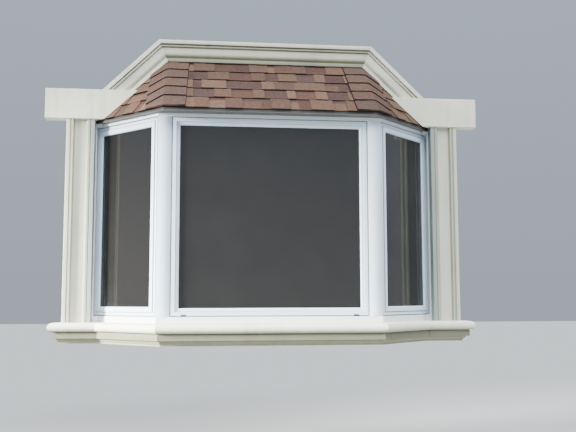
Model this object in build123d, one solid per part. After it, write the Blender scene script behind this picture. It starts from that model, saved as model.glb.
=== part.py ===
from build123d import *
import os
from math import acos, pi, sin, sqrt, tan

os.makedirs("parts", exist_ok=True)

# Lengths are in millimetres. X runs along the wall, Y into it and Z up. The wall's face is the
# plane Y = 0, and the word out stands for the distance in front of it. Heights are counted from
# the middle of the ledger that carries the bay.

up = Vector(0, 0, 1)
front_way = Vector(0, -1, 0)
side_way = Vector(1, -1, 0).normalized()
half_turn = tan(pi / 8)
root_two = sqrt(2)
pieces = {}

# Window units: a square picture window straight ahead and a casement on each 45 degree side, whose
# outer end is set into the wall, so its length gives the bay's depth
frame_foot = 82.5
frame_height = 1372.0
frame_depth = 83.0
picture_width = 1370.0
post_width = 94.0
post_setback = 4.0
flank_length = 657.0
flank_set_in = 48.5
joint = 0.5
frame_head = frame_foot + frame_height
picture_half = picture_width / 2
flank_reach = flank_length / root_two
flank_out = flank_reach - flank_set_in
flank_start = picture_half + post_width
flank_end = flank_start + flank_reach
flank_line = flank_start + flank_out
picture_out = flank_out + post_setback

# Platform board under the windows and head board over them, from inside the wall opening to the
# frames' faces
board_thick = 38.0
frame_proud = 5.0
wall_depth = 120.0
opening_lap = 31.0
board_out = picture_out - frame_proud
board_line = flank_line - frame_proud * root_two
seat_underside = frame_foot - board_thick
head_top = frame_head + board_thick

# Pilasters and belt course, coated foam on the wall's face
pilaster_gap = 3.5
pilaster_width = 200.0
pilaster_thick = 84.0
belt_rise = 6.0
belt_height = 218.0
belt_thick = 92.0
belt_past = 153.0
pilaster_inner = flank_end + pilaster_gap
pilaster_outer = pilaster_inner + pilaster_width
opening_half = pilaster_inner + opening_lap
belt_foot = head_top + belt_rise
belt_top = belt_foot + belt_height
belt_end = pilaster_outer + belt_past

# Roof: the shingles' outer surface runs from the eave to the line where the crown meets it
eave_rise = 10.0
front_overhang = 111.0
side_overhang = 84.0
roof_rise = 446.0
roof_head_past = 41.0
roof_head_out = 60.0
shingle_thick = 12.0
butt_step = 6.0
deck_thick = 12.7
first_course = 100.0
course_rise = 87.0
course_count = 6
eave_out = board_out + front_overhang
eave_line = board_line + side_overhang
eave_height = head_top + eave_rise
corner_half = eave_line - eave_out
top_half = picture_half + roof_head_past
top_out = roof_head_out
top_height = eave_height + roof_rise
rake_slope = roof_rise / (eave_line - top_out - top_half)
front_slope = roof_rise / (eave_out - top_out)
side_slope = rake_slope * root_two
course_heights = [0.0] + [first_course + course_rise * index for index in range(course_count - 1)]

# Sill moulding: its lowest edge follows the bay, returns along the wall and ends past the pilaster
apron_thick = 12.0
sill_past_front = 100.0
sill_past_side = 63.0
sill_return_past = 5.0
sill_end_past = 10.0
sill_drop = 6.0
sill_height = 146.0
apron_out = board_out + apron_thick
apron_line = board_line + apron_thick * root_two
sill_foot_out = apron_out + sill_past_front
sill_foot_line = apron_line + sill_past_side
sill_return_out = pilaster_thick + sill_return_past
sill_end = pilaster_outer + sill_end_past
sill_top = seat_underside - sill_drop
sill_foot = sill_top - sill_height


def outline(corners):
    """A flat face from corners given as (x, y) or as (x, y, radius)."""
    points = [Vector(corner[0], corner[1]) for corner in corners]
    radii = [corner[2] if len(corner) > 2 else 0.0 for corner in corners]
    count = len(points)
    starts = []
    ends = []
    middles = []
    for index in range(count):
        here = points[index]
        if radii[index] == 0:
            starts.append(here)
            ends.append(here)
            middles.append(None)
            continue
        back = (points[index - 1] - here).normalized()
        ahead = (points[(index + 1) % count] - here).normalized()
        half = acos(back.dot(ahead)) / 2
        run = radii[index] / tan(half)
        starts.append(here + back * run)
        ends.append(here + ahead * run)
        middles.append(here + (back + ahead).normalized() * (radii[index] / sin(half) - radii[index]))
    edges = []
    for index in range(count):
        if middles[index] is not None:
            edges.append(Edge.make_three_point_arc(starts[index], middles[index], ends[index]))
        following = starts[(index + 1) % count]
        if (following - ends[index]).length > 0.001:
            edges.append(Edge.make_line(ends[index], following))
    return Face(Wire(edges))


def box_between(low, high):
    """A box from its lowest to its highest corner."""
    size = Vector(*high) - Vector(*low)
    return Pos(*low) * Box(size.X, size.Y, size.Z, align=(Align.MIN, Align.MIN, Align.MIN))


def upright(corners, foot, top):
    """A prism that stands on a plan outline in X and Y."""
    return Pos(0, 0, foot) * extrude(outline(corners), amount=top - foot, dir=(0, 0, 1))


def elevation(corners, front, back):
    """A prism from an outline in X and Z, between two values of Y."""
    sheet = Plane(origin=(0, front, 0), x_dir=(1, 0, 0), z_dir=(0, -1, 0)) * outline(corners)
    return extrude(sheet, amount=back - front, dir=(0, 1, 0))


def moulding(section, origin, outward, upward, reach=2600.0):
    """A long straight run of a section drawn as (outward, upward) from its origin."""
    plane = Plane(origin=origin, x_dir=outward, z_dir=outward.cross(upward))
    return extrude(plane * outline(section), amount=reach, both=True)


def both_sides(name, right):
    """Files a right-hand piece and its mirror image."""
    pieces[name + "_right"] = right
    pieces[name + "_left"] = mirror(right, about=Plane.YZ)


def plan(x, out):
    """A plan corner from its distance in front of the wall."""
    return (x, -out)


def band_outline(inner_out, inner_line, outer_out, outer_line, wall_y=0.0):
    """The plan of a strip that follows the bay between two offsets, ending on a line across the wall."""
    return [
        (outer_line + wall_y, wall_y),
        plan(outer_line - outer_out, outer_out),
        plan(outer_out - outer_line, outer_out),
        (-outer_line - wall_y, wall_y),
        (-inner_line - wall_y, wall_y),
        plan(inner_out - inner_line, inner_out),
        plan(inner_line - inner_out, inner_out),
        (inner_line + wall_y, wall_y),
    ]


def bay_outline(out, line, wall_y=0.0):
    """The plan of a board that fills the bay."""
    return [
        (line + wall_y, wall_y),
        plan(line - out, out),
        plan(out - line, out),
        (-line - wall_y, wall_y),
    ]


# Stations of the three windows: origin at the outer lower left corner of each face, local X along
# the face, local Y into the house
picture_station = Plane(origin=(-picture_half, -picture_out, frame_foot), x_dir=(1, 0, 0), z_dir=(0, 0, 1))
flank_corner = (flank_start, -flank_out, frame_foot)
flank_station = Plane(origin=flank_corner, x_dir=(1, 1, 0), z_dir=(0, 0, 1))


def frame_ring(width, height, section):
    """A mitred rectangular frame from a section drawn as (inset, depth)."""
    route = Wire.make_polygon(
        [(width / 2, 0, 0), (0, 0, 0), (0, 0, height), (width, 0, height), (width, 0, 0)], close=True
    )
    start = Plane(origin=(width / 2, 0, 0), x_dir=(0, 0, 1), z_dir=(-1, 0, 0))
    return sweep(start * outline(section), path=route, transition=Transition.RIGHT)


# Wall ledger: its back is the flat face that is bolted to the wall
ledger_thick = 38.0
ledger_height = 89.0
ledger_clearance = 20.0
ledger_ease = 2.0
ledger_half = board_line - ledger_thick - ledger_clearance
wall_ledger = box_between(
    (-ledger_half, -ledger_thick, -ledger_height / 2), (ledger_half, 0, ledger_height / 2)
)
pieces["wall_ledger"] = chamfer(wall_ledger.edges().filter_by(Axis.X).group_by(Axis.Y)[0], ledger_ease)

# Seat board and head board: the windows stand between them
notch_gap = 1.0
board_outline = [
    (-opening_half, wall_depth),
    (opening_half, wall_depth),
    (opening_half, notch_gap),
    (board_line + notch_gap, notch_gap),
    plan(board_line - board_out, board_out),
    plan(board_out - board_line, board_out),
    (-board_line - notch_gap, notch_gap),
    (-opening_half, notch_gap),
]
pieces["seat_board"] = upright(board_outline, seat_underside, frame_foot)
pieces["head_board"] = upright(board_outline, frame_head, head_top)

# Foam that fills the platform under the board, with a step around the ledger, and its closing panel
panel_thick = 6.0
panel_rise = 4.0
platform_foot = sill_foot + panel_rise
platform_line = board_line - ledger_thick
platform = upright(
    [(platform_line, -ledger_thick), plan(board_line - board_out, board_out),
     plan(board_out - board_line, board_out), (-platform_line, -ledger_thick)],
    platform_foot, seat_underside,
)
platform_toe = box_between((-ledger_half, -ledger_thick, platform_foot), (ledger_half, 0, -ledger_height / 2))
pieces["seat_insulation"] = platform + platform_toe
pieces["seat_panel"] = upright(bay_outline(apron_out, apron_line), platform_foot - panel_thick, platform_foot)

# Apron: cladding that is bent around the platform's edge under the windows
pieces["seat_cladding"] = upright(
    band_outline(board_out, board_line, apron_out, apron_line), platform_foot, frame_foot
)

# Head cladding: a narrow band above the windows, under the eave
soffit_thick = 5.0
soffit_rise = 21.0
head_band_thick = 13.0
soffit_foot = frame_head + soffit_rise
head_band_out = board_out + head_band_thick
head_band_line = board_line + head_band_thick * root_two
pieces["head_cladding"] = upright(
    band_outline(board_out, board_line, head_band_out, head_band_line), frame_head, soffit_foot
)

# Wall jambs: they close the wedge between each casement's outer end and the opening
jamb_front = flank_set_in - 2
jamb_line = flank_end + flank_set_in + joint * root_two
both_sides("wall_jamb", upright(
    [(jamb_line - jamb_front, jamb_front), (opening_half, jamb_front), (opening_half, wall_depth),
     (jamb_line - wall_depth, wall_depth)],
    frame_foot, frame_head,
))

# Corner posts: a wedge between picture frame and casement, under a rounded cover
cover_lip = 1.0
cover_lip_side = 4.0
cover_bulge = 16.0
cover_radius = 120.0
ease = 2.0
post_left = picture_half + joint
post_back = frame_depth - picture_out
post_line = flank_start - flank_out - joint * root_two
lip_line = flank_line + cover_lip_side * root_two
lip_x = (post_line + lip_line) / 2
both_sides("corner_post", upright(
    [(post_left, post_back), plan(post_left, picture_out + cover_lip) + (ease,),
     plan((post_left + lip_x) / 2, picture_out + cover_bulge) + (cover_radius,),
     (lip_x, (post_line - lip_line) / 2, ease), (post_line - post_back, post_back)],
    frame_foot, frame_head,
))

# Picture window: frame with a rabbet for the glass unit, a glazing bead and the glass unit. The
# sections are drawn as (inset from the frame's outer edge, depth from its face).
picture_face = 34.0
picture_lining = 57.0
glass_thick = 22.5
glass_front = 21.5
glass_edge = 11.0
face_ease = 3.0
edge_rebate = 7.0
edge_deep = 6.0
glass_back = glass_front + glass_thick
picture_frame = frame_ring(picture_width, frame_height, [
    (0, edge_deep), (edge_rebate, edge_deep), (edge_rebate, 0, ease), (picture_face - face_ease, 0),
    (picture_face, face_ease), (picture_face, glass_back),
    (picture_lining, glass_back), (picture_lining, frame_depth, ease), (0, frame_depth),
])
weep_width = 32.0
weep_height = 5.0
weep_rise = 11.0
weep_deep = 3.0
weep_offset = 590.0
for side in (-1, 1):
    middle = picture_half + side * weep_offset
    weep_low = (middle - weep_width / 2, -1, weep_rise)
    weep_high = (middle + weep_width / 2, weep_deep, weep_rise + weep_height)
    picture_frame = picture_frame - box_between(weep_low, weep_high)
pieces["picture_frame"] = picture_station * picture_frame
bead_front = 8.0
bead_flat = 14.0
bead_width = picture_lining - picture_face
picture_bead = frame_ring(picture_width - 2 * picture_face, frame_height - 2 * picture_face, [
    (0, bead_front, 1), (bead_flat, bead_front), (bead_flat + 3, bead_front + 2), (bead_width, bead_front + 6),
    (bead_width, glass_front), (0, glass_front),
])
pieces["picture_bead"] = picture_station * Pos(picture_face, 0, picture_face) * picture_bead
glass_inset = picture_face + glass_edge
pieces["picture_glass"] = picture_station * box_between(
    (glass_inset, glass_front, glass_inset),
    (picture_width - glass_inset, glass_back, frame_height - glass_inset),
)

# Casements: the frame has a rebate for the sash, a land for the screen and a stool for the crank
casement_face = 28.0
casement_lining = 46.0
rebate_back = 62.0
stool_height = 62.0
stool_front = 50.0
casement_frame = frame_ring(flank_length, frame_height, [
    (0, edge_deep), (edge_rebate, edge_deep), (edge_rebate, 0, ease), (casement_face - face_ease, 0),
    (casement_face, face_ease), (casement_face, rebate_back),
    (casement_lining, rebate_back), (casement_lining, frame_depth, ease), (0, frame_depth),
])
stool = box_between(
    (casement_face, stool_front, casement_face), (flank_length - casement_face, frame_depth, stool_height)
)
both_sides("casement_frame", flank_station * (casement_frame + stool))

# Sash: it lies in the rebate, stands a little proud and grips the glass unit in its slot
sash_gap = 1.0
sash_proud = 4.0
sash_back = 46.0
sash_width = 37.0
sash_rabbet = 12.0
pane_front = 7.5
pane_back = pane_front + glass_thick
sash_inset = casement_face + sash_gap
slot_start = sash_width - sash_rabbet
casement_sash = frame_ring(flank_length - 2 * sash_inset, frame_height - 2 * sash_inset, [
    (0, -sash_proud, 3), (sash_width - 7, -sash_proud), (sash_width - 3, 3 - sash_proud),
    (sash_width, pane_front - 4), (sash_width, pane_front), (slot_start, pane_front),
    (slot_start, pane_back), (sash_width, pane_back), (sash_width, sash_back, ease), (0, sash_back),
])
both_sides("casement_sash", flank_station * Pos(sash_inset, 0, sash_inset) * casement_sash)
pane_inset = sash_inset + slot_start
both_sides("casement_glass", flank_station * box_between(
    (pane_inset, pane_front, pane_inset),
    (flank_length - pane_inset, pane_back, frame_height - pane_inset),
))

# Insect screens: a thin bar frame inside the sash, with its cloth in a groove
screen_gap = 5.0
screen_thick = 9.0
screen_bar = 17.0
cloth_thick = 0.6
screen_front = sash_back + screen_gap
screen_foot = stool_height
screen_side = flank_length - casement_face
screen_head = frame_height - casement_face
cloth_front = screen_front + (screen_thick - cloth_thick) / 2
screen_outer = box_between(
    (casement_face, screen_front, screen_foot), (screen_side, screen_front + screen_thick, screen_head)
)
screen_hole = box_between(
    (casement_face + screen_bar, screen_front - 1, screen_foot + screen_bar),
    (screen_side - screen_bar, screen_front + screen_thick + 1, screen_head - screen_bar),
)
groove = screen_bar - 5
screen_cloth = box_between(
    (casement_face + groove, cloth_front, screen_foot + groove),
    (screen_side - groove, cloth_front + cloth_thick, screen_head - groove),
)
both_sides("insect_screen", flank_station * (screen_outer - screen_hole + screen_cloth))

# Cranks: a cover on the frame's sill member, a folded arm on it and a knob on the arm
cover_width = 120.0
cover_deep = 18.0
cover_tall = 30.0
cover_foot = 22.0
arm_length = 92.0
arm_deep = 10.0
arm_tall = 12.0
knob_radius = 8.0
knob_length = 20.0
crank_middle = flank_length / 2
crank_height = cover_foot + cover_tall / 2
crank_cover = box_between(
    (crank_middle - cover_width / 2, frame_depth, cover_foot),
    (crank_middle + cover_width / 2, frame_depth + cover_deep, cover_foot + cover_tall),
)
arm_front = frame_depth + cover_deep - 2
crank_arm = box_between(
    (crank_middle - arm_length / 2, arm_front, crank_height - arm_tall / 2),
    (crank_middle + arm_length / 2, arm_front + arm_deep, crank_height + arm_tall / 2),
)
crank_knob = Pos(
    crank_middle + arm_length / 2 - knob_radius, arm_front + arm_deep + knob_length / 2 - 2, crank_height
) * Cylinder(knob_radius, knob_length, rotation=(90, 0, 0))
crank = fillet(crank_cover.edges(), 5) + fillet(crank_arm.edges(), 3) + fillet(crank_knob.edges(), 3)
both_sides("crank_handle", flank_station * crank)

# Sill moulding: rounded nose over two fascias, mitred at every turn of the bay. Its section is drawn
# as (distance past the lowest edge, height).
nose_reach = 74.0
nose_fall = 2.8
nose_depth = 63.0
nose_radius = 29.0
quirk = 4.0
upper_reach = 42.0
upper_depth = 43.0
lower_reach = 20.0
lower_depth = 6.0
toe_depth = 8.0
nose_foot = sill_top - nose_depth
upper_top = nose_foot - quirk
upper_foot = upper_top - upper_depth
lower_foot = upper_foot - lower_depth
sill_back = sill_past_front + 10
sill_section = [
    (-sill_back, sill_top), (-5, sill_top), (nose_reach, sill_top - nose_fall, nose_radius),
    (nose_reach, nose_foot, nose_radius), (upper_reach - quirk, nose_foot), (upper_reach - quirk, upper_top),
    (upper_reach, upper_top, 1.5), (upper_reach, upper_foot, 3), (lower_reach, upper_foot),
    (lower_reach, lower_foot), (0, sill_foot + toe_depth, 6), (0, sill_foot), (-sill_back, sill_foot),
]


def mitre_x(at_x, at_out, out):
    """Where the mitre of a 45 degree turn through a given corner lies at a given distance out."""
    return at_x + half_turn * (out - at_out)


far = sill_foot_out + 2 * nose_reach
front_corner = sill_foot_line - sill_foot_out
inner_corner = sill_foot_line - sill_return_out
back_step = (apron_line - mitre_x(inner_corner, sill_return_out, 0)) / (1 + half_turn)
sill_front_plan = [
    plan(-mitre_x(front_corner, sill_foot_out, apron_out), apron_out),
    plan(mitre_x(front_corner, sill_foot_out, apron_out), apron_out),
    plan(mitre_x(front_corner, sill_foot_out, far), far),
    plan(-mitre_x(front_corner, sill_foot_out, far), far),
]
sill_side_plan = [
    plan(mitre_x(front_corner, sill_foot_out, apron_out), apron_out),
    plan(apron_line - apron_out, apron_out),
    plan(apron_line - back_step, back_step),
    plan(mitre_x(inner_corner, sill_return_out, apron_out / 2), apron_out / 2),
    plan(mitre_x(front_corner, sill_foot_out, far), far),
]
sill_return_plan = [
    plan(apron_line - back_step, back_step),
    (apron_line, 0),
    (sill_end - sill_return_out, 0),
    plan(sill_end - sill_return_out + apron_out / 2, apron_out / 2),
    plan(mitre_x(inner_corner, sill_return_out, apron_out / 2), apron_out / 2),
]
sill_end_plan = [
    (sill_end - sill_return_out, 0),
    (sill_end - sill_return_out + apron_out / 2, 0),
    plan(sill_end - sill_return_out + apron_out / 2, apron_out / 2),
]
sill_low = sill_foot - 5
sill_high = frame_foot
sill_front = moulding(sill_section, (0, -sill_foot_out, 0), front_way, up)
pieces["sill_front"] = sill_front & upright(sill_front_plan, sill_low, sill_high)
sill_side = moulding(sill_section, (front_corner, -sill_foot_out, 0), side_way, up)
sill_return = moulding(sill_section, (inner_corner, -sill_return_out, 0), front_way, up)
sill_cap = moulding(sill_section, (sill_end, 0, 0), Vector(1, 0, 0), up)
sill_parts = (sill_side & upright(sill_side_plan, sill_low, sill_high)) + (
    sill_return & upright(sill_return_plan, sill_low, sill_high)
)
sill_parts = sill_parts + (sill_cap & upright(sill_end_plan, sill_low, sill_high))
both_sides("sill", sill_parts)

# Pilasters: raised margins with a groove each, and a sunk panel between them
margin = 48.0
groove_inset = 26.0
groove_width = 7.0
groove_deep = 5.0
panel_deep = 22.0
panel_slope = 13.0
face = -pilaster_thick
half_section = [
    (0, face, 3), (groove_inset, face, 1), (groove_inset + 2, face + groove_deep),
    (groove_inset + groove_width - 2, face + groove_deep), (groove_inset + groove_width, face, 1),
    (margin, face, 1.5), (margin + panel_slope - 3, face + panel_deep - 2),
    (margin + panel_slope, face + panel_deep),
]
other_half = [(pilaster_width - corner[0], *corner[1:]) for corner in reversed(half_section)]
pilaster_section = half_section + other_half + [(pilaster_width, 0), (0, 0)]
pilaster_plan = [(corner[0] + pilaster_inner, *corner[1:]) for corner in pilaster_section]
both_sides("pilaster", upright(pilaster_plan, sill_top, belt_foot))

# Reveal trims: a channel against the pilaster with a leg that runs back to the casement frame, and a
# wider cover over the ends of the seat and head boards
trim_out = 18.5
trim_thick = 3.5
flange_width = 10.0
end_cover_width = 46.0
leg = pilaster_inner - joint
leg_back = leg - trim_thick
reveal_leg = box_between((leg_back, -trim_out, frame_foot), (leg, jamb_front - 1, frame_head))
reveal_flange = box_between(
    (leg - flange_width, -trim_out, sill_top), (leg, trim_thick - trim_out, soffit_foot)
)
reveal_wall = box_between((leg_back, -trim_out, sill_top), (leg, 0, soffit_foot))
reveal_trim = reveal_leg + reveal_flange + reveal_wall
for cover_low, cover_high in ((sill_top, frame_foot), (frame_head, soffit_foot)):
    reveal_trim = reveal_trim + box_between(
        (leg - end_cover_width, -trim_out, cover_low), (leg, trim_thick - trim_out, cover_high)
    )
both_sides("reveal_trim", reveal_trim)


# The roof is three slopes. Their sections are drawn as (distance up the slope, height off the slope).
class Slope:
    """One roof slope: where its eave is and how steep it is."""

    def __init__(self, origin, outward, slope, normal):
        self.origin = origin
        self.outward = outward
        self.slope = slope
        self.cosine = 1 / sqrt(1 + slope * slope)
        self.sine = slope * self.cosine
        self.normal = normal

    def at(self, along, off):
        """A section point as (outward, upward) from the eave."""
        return (off * self.sine - along * self.cosine, along * self.sine + off * self.cosine)

    def layer(self, points):
        """A long prism from section points given along and off the slope."""
        return moulding([self.at(*point) for point in points], self.origin, self.outward, up)


front_normal = Vector(0, -front_slope, 1).normalized()
side_normal = Vector(rake_slope, -rake_slope, 1).normalized()
eave_corner = Vector(corner_half, -eave_out, eave_height)
hip_top = Vector(top_half, -top_out, top_height)
front = Slope(Vector(0, -eave_out, eave_height), front_way, front_slope, front_normal)
side = Slope(eave_corner, side_way, side_slope, side_normal)

# Halves of space on either side of the hips, and the space in front of the wall
reach = 3 * eave_line
slope_end = eave_line
hip_plane = Plane(origin=eave_corner, z_dir=side_normal - front_normal)
beyond_hip = hip_plane * Box(reach, reach, reach, align=(Align.CENTER, Align.CENTER, Align.MIN))
before_wall = box_between((-reach, -reach, -reach), (reach, 0, reach))
right_of_middle = box_between((0, -reach, -reach), (reach, 0, reach))


def front_part(solid):
    """The part of a long prism that lies on the front slope."""
    return (solid & before_wall) - beyond_hip - mirror(beyond_hip, about=Plane.YZ)


def side_part(solid):
    """The part of a long prism that lies on the right-hand slope."""
    return solid & right_of_middle & beyond_hip


def under_roof(depth):
    """Everything under the roof's outer surface, lowered by a depth."""
    parts = []
    for slope in (front, side):
        low = slope.at(-shingle_thick - depth, -depth)
        high = slope.at(slope_end, -depth)
        section = [low, high, (high[0], -roof_rise), (low[0], -roof_rise)]
        parts.append(moulding(section, slope.origin, slope.outward, up))
    right = side_part(parts[1])
    return front_part(parts[0]) + right + mirror(right, about=Plane.YZ)


roof_body = under_roof(0)
post_top = box_between((leg, -pilaster_thick - joint, frame_foot), (belt_end, 0, belt_foot))

# Shingle fields: five courses, each butt standing proud of the course below
flange_end = 46.0
flange_thick = 1.2


def shingle_section(slope):
    """Stepped courses on top, a flat underside that is let in over the drip edge."""
    points = []
    butts = [height / slope.sine for height in course_heights]
    for index in range(len(butts)):
        points.append((butts[index], 0))
        following = butts[index + 1] if index + 1 < len(butts) else slope_end
        points.append((following, -butt_step))
    points.append((slope_end, -shingle_thick))
    points.append((flange_end, -shingle_thick))
    points.append((flange_end, flange_thick - shingle_thick))
    points.append((0, flange_thick - shingle_thick))
    return points


pieces["shingles_front"] = front_part(front.layer(shingle_section(front)))
both_sides("shingles", side_part(side.layer(shingle_section(side))) - post_top)

# Sheathing: one skin of boards over the three slopes
deck_back = 13.0
deck_low = shingle_thick + deck_thick
deck_section = [(0, -shingle_thick), (slope_end, -shingle_thick), (slope_end, -deck_low), (0, -deck_low)]
deck_outline = bay_outline(eave_out - deck_back, eave_line - deck_back * root_two)
deck_plan = upright(deck_outline, frame_foot, 2 * top_height)
deck_side = side_part(side.layer(deck_section)) - post_top
deck = front_part(front.layer(deck_section)) + deck_side + mirror(deck_side, about=Plane.YZ)
pieces["roof_sheathing"] = deck & deck_plan

# Drip edge: bent metal with a flange under the first course and a lip in front of the sheathing
flange_section = [
    (5, -shingle_thick), (flange_end, -shingle_thick),
    (flange_end, flange_thick - shingle_thick), (5, flange_thick - shingle_thick),
]
flange_side = side_part(side.layer(flange_section)) - post_top
flanges = front_part(front.layer(flange_section)) + flange_side + mirror(flange_side, about=Plane.YZ)
lip_foot = soffit_foot + soffit_thick - 1
lip_top = eave_height - 4.5
lip = upright(
    band_outline(
        eave_out - deck_back, eave_line - deck_back * root_two,
        eave_out - deck_back + flange_thick, eave_line - (deck_back - flange_thick) * root_two,
    ),
    lip_foot, lip_top,
)
lip = lip - post_top - mirror(post_top, about=Plane.YZ)
pieces["drip_edge"] = flanges + lip

# Soffit: a thin panel between the drip edge and the head board
soffit = upright(
    band_outline(board_out, board_line, eave_out - deck_back, eave_line - deck_back * root_two),
    soffit_foot, soffit_foot + soffit_thick,
)
pieces["eave_soffit"] = soffit - post_top - mirror(post_top, about=Plane.YZ)

# Roof framing: a ledger on the wall, two common rafters and two hip rafters on the head board
timber = 38.0
rafter_depth = 89.0
roof_ledger_drop = 151.0
roof_space = under_roof(deck_low)
roof_ledger_half = top_half + timber
roof_ledger_foot = top_height - roof_ledger_drop
roof_ledger = box_between((-roof_ledger_half, -timber, roof_ledger_foot), (roof_ledger_half, 0, 2 * top_height))
pieces["roof_ledger"] = roof_ledger & roof_space
rafter_zone = roof_space - under_roof(deck_low + rafter_depth)
head_notch = box_between((-reach, -board_out, 0), (reach, wall_depth, head_top))
rafter_foot = soffit_foot + soffit_thick
rafter_middle = 330.0
hip_past = 6.0
hip_middle = top_half + hip_past
rafter_setback = 18.0
heel_length = 85.0
heel_height = 40.0


def rafter(middle):
    """A rafter in a plane square to the wall, notched over the head board."""
    blank = box_between(
        (middle - timber / 2, rafter_setback - eave_out, rafter_foot),
        (middle + timber / 2, -timber, top_height),
    )
    heel = box_between(
        (middle - timber / 2, -board_out, head_top),
        (middle + timber / 2, heel_length - board_out, head_top + heel_height),
    )
    return ((blank & rafter_zone) + (heel & roof_space)) - head_notch


both_sides("rafter", rafter(rafter_middle))
both_sides("hip_rafter", rafter(hip_middle))

# Hip caps: folded shingles that overlap up each hip, 150 mm wide on either slope
hip_way = (hip_top - eave_corner).normalized()
cap_width = 150.0
cap_butt = 9.0
cap_thin = 4.0
cap_gap = 0.2
cap_start = -3.0
cap_lap = 12.0
cap_end = (eave_out - top_out - 2) / abs(hip_way.Y)
cap_section = []
cap_butts = [cap_start] + [height / hip_way.Z for height in course_heights[1:]]
cap_butts = [butt for butt in cap_butts if butt < cap_end - 10]
for index in range(len(cap_butts)):
    cap_section.append((cap_butts[index], cap_butt))
    cap_section.append((cap_butts[index + 1] if index + 1 < len(cap_butts) else cap_end, cap_thin))
cap_section.append((cap_end, cap_gap))
cap_section.append((cap_start, cap_gap))


def cap_leg(normal, toward):
    """One leg of the caps on a slope, reaching from the hip toward its side."""
    across = hip_way.cross(normal)
    if across.dot(toward) < 0:
        across = across * -1
    plane = Plane(origin=eave_corner - across * cap_lap, x_dir=hip_way, z_dir=hip_way.cross(normal))
    return extrude(plane * outline(cap_section), amount=cap_width + cap_lap, dir=across)


eave_plan = upright(bay_outline(eave_out + 2, eave_line + 2 * root_two), frame_foot, 2 * top_height)
front_leg = cap_leg(front_normal, Vector(-1, 0, 0)) - beyond_hip
side_leg = cap_leg(side_normal, Vector(1, 0, 0)) & beyond_hip
hip_cap = (front_leg + side_leg) & eave_plan
both_sides("hip_cap", hip_cap)

# Belt course: a block on each side, cut on the slant where the roof comes through it
belt_section = [(0, belt_foot), (belt_thick, belt_foot, 4), (belt_thick, belt_top, 4), (0, belt_top)]
belt_run = moulding(belt_section, (0, 0, 0), front_way, up)
belt_zone = box_between((top_half, -2 * belt_thick, belt_foot), (belt_end, 0, belt_top))
both_sides("belt_block", (belt_run & belt_zone) - roof_body)

# Crown moulding: a cornice and a bead over a bold ovolo and a base bead, with a quirk between each
# two of them, across the roof's head and down both rakes. Its rakes run a little steeper than the
# roof's edge, and its foot is scribed to the slopes.
crown_width = 158.5
base_reach = 56.0
base_width = 30.0
neck_reach = 46.0
neck_width = 9.0
ovolo_reach = 71.0
ovolo_width = 63.0
ovolo_radius = 26.0
quirk_reach = 60.0
lower_quirk = 10.0
bead_reach = 78.0
crown_bead = 12.0
upper_quirk = 6.0
cornice_reach = 91.0
crown_slope = 0.972
crown_past = 6.0
ovolo_foot = base_width + neck_width
ovolo_top = ovolo_foot + ovolo_width
bead_foot = ovolo_top + lower_quirk
bead_top = bead_foot + crown_bead
cornice_foot = bead_top + upper_quirk
crown_section = [
    (0, 0), (base_reach, 0, 8), (base_reach, base_width, 6), (neck_reach, base_width), (neck_reach, ovolo_foot),
    (ovolo_reach - 6, ovolo_foot + 5, ovolo_radius), (ovolo_reach, ovolo_top), (quirk_reach, ovolo_top),
    (quirk_reach, bead_foot), (bead_reach, bead_foot, 2), (bead_reach, bead_top, 2), (quirk_reach, bead_top),
    (quirk_reach, cornice_foot), (cornice_reach, cornice_foot, 2), (cornice_reach, crown_width, 3),
    (0, crown_width),
]
rake_up = Vector(crown_slope, 0, 1).normalized()
mitre_rate = (1 - rake_up.Z) / rake_up.X
crown_half = top_half + crown_past
crown_corner = (crown_half, 0, top_height)
crown_reach = crown_width + 70
crown_low = -20.0


def crown_mitre(rise):
    """A point in X and Z on the mitre between the top run and the right-hand rake."""
    return (crown_half + mitre_rate * rise, top_height + rise)


roof_clear = under_roof(-2 * cap_gap)
hips = hip_cap + mirror(hip_cap, about=Plane.YZ)
top_low = crown_mitre(crown_low)
top_high = crown_mitre(crown_reach)
top_zone = elevation(
    [(-top_low[0], top_low[1]), top_low, top_high, (-top_high[0], top_high[1])], -2 * cornice_reach, 0
)
crown_top = moulding(crown_section, crown_corner, front_way, up) & top_zone
pieces["crown_top"] = crown_top - roof_clear - hips
rake_inner = crown_half + (top_height - belt_top) / crown_slope - crown_width
rake_zone = elevation(
    [crown_mitre(crown_low), (rake_inner, belt_top), (belt_end, belt_top), (belt_end, top_high[1]), top_high],
    -2 * cornice_reach, 0,
)
crown_rake = moulding(crown_section, crown_corner, front_way, rake_up) & rake_zone
both_sides("crown_rake", crown_rake - roof_clear - hips)

for name in sorted(pieces):
    for solid in pieces[name].solids():
        export_step(solid, f"parts/{name}.step")
print(len(pieces), "pieces")
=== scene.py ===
import math
import random

import bmesh
import bpy
from mathutils import Matrix, Vector


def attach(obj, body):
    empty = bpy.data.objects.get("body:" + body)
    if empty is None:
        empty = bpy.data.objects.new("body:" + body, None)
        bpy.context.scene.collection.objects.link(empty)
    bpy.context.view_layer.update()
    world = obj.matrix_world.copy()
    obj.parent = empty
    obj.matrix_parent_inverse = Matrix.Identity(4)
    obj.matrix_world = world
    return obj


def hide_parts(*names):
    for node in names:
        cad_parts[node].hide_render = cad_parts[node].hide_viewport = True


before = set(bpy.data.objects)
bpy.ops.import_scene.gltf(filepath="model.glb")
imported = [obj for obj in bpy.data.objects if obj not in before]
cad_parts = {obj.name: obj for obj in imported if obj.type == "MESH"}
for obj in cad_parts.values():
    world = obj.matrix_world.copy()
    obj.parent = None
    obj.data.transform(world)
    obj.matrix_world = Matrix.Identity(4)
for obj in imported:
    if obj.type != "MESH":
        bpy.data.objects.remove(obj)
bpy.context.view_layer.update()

# Camera: it stands in front of the bay a little to the left of its middle, at the eye height of
# the photograph, and looks slightly to the right and up.
eye = Vector((-0.5125, -5.8181, 0.2076))
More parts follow.
